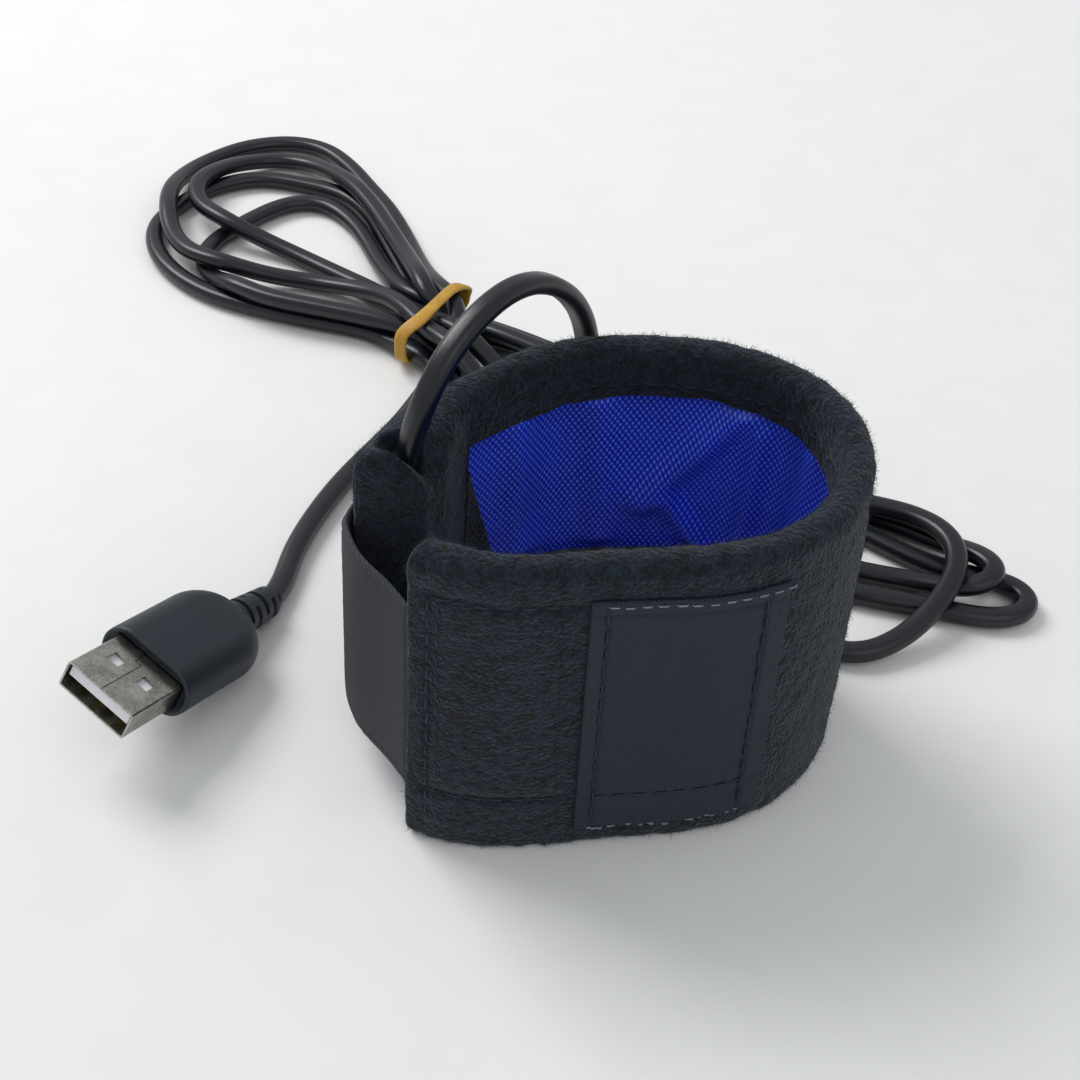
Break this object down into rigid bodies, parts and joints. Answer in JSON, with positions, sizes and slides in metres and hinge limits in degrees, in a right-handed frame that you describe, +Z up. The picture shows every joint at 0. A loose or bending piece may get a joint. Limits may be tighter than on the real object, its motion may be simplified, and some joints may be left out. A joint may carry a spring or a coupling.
{
  "type": "telescope dew heater strip",
  "caption": "Soft fleece heater strip closed to a ring by hook tape, with a blue woven heating panel inside and a tied hank of lead ending in a USB plug.",
  "frame": {"origin": "middle of the ring's underside, on the surface that it stands on", "axes": "+Z up along the ring's axis, -Y towards the side with the label, +X to the right of it"},
  "size_m": [0.1607, 0.1964, 0.0651],
  "materials": {
    "fleece": "brushed polar fleece, near-black blue, with a short nap",
    "panel_nylon": "royal blue basket-woven nylon with a soft sheen",
    "felt": "thin grey needle felt",
    "hook_tape": "dark grey hook tape, outside of its backing",
    "label_cloth": "navy twill label cloth, plain",
    "wire_coat": "silicone-coated resistance wire",
    "shrink_tube": "black heat-shrink sleeve",
    "core_red": "red core insulation",
    "core_black": "black core insulation",
    "jacket": "smooth soft two-core jacket, near-black, faint gloss",
    "rubber_loop": "translucent ochre rubber",
    "grip_plastic": "slate moulded plastic, fine matt grain",
    "shell_steel": "nickel-plated sheet steel, satin",
    "insulator": "white moulded insulator",
    "contact_gold": "gold-plated spring contact"
  },
  "bodies": {
    "root": {"fleece_band": "fleece", "heater_panel": "panel_nylon", "wire_carrier": "felt", "heating_wire": "wire_coat", "splice_sleeve_low": "shrink_tube", "splice_sleeve_high": "shrink_tube", "lead_core_red": "core_red", "lead_core_black": "core_black", "closure_strap": "hook_tape", "label_patch": "label_cloth", "cord_lead": "jacket", "cord_hank": "jacket", "cord_tail": "jacket", "rubber_band": "rubber_loop", "plug_grip": "grip_plastic", "plug_shell": "shell_steel", "plug_insulator": "insulator", "plug_contact_1": "contact_gold", "plug_contact_2": "contact_gold", "plug_contact_3": "contact_gold", "plug_contact_4": "contact_gold"}
  },
  "joints": []
}
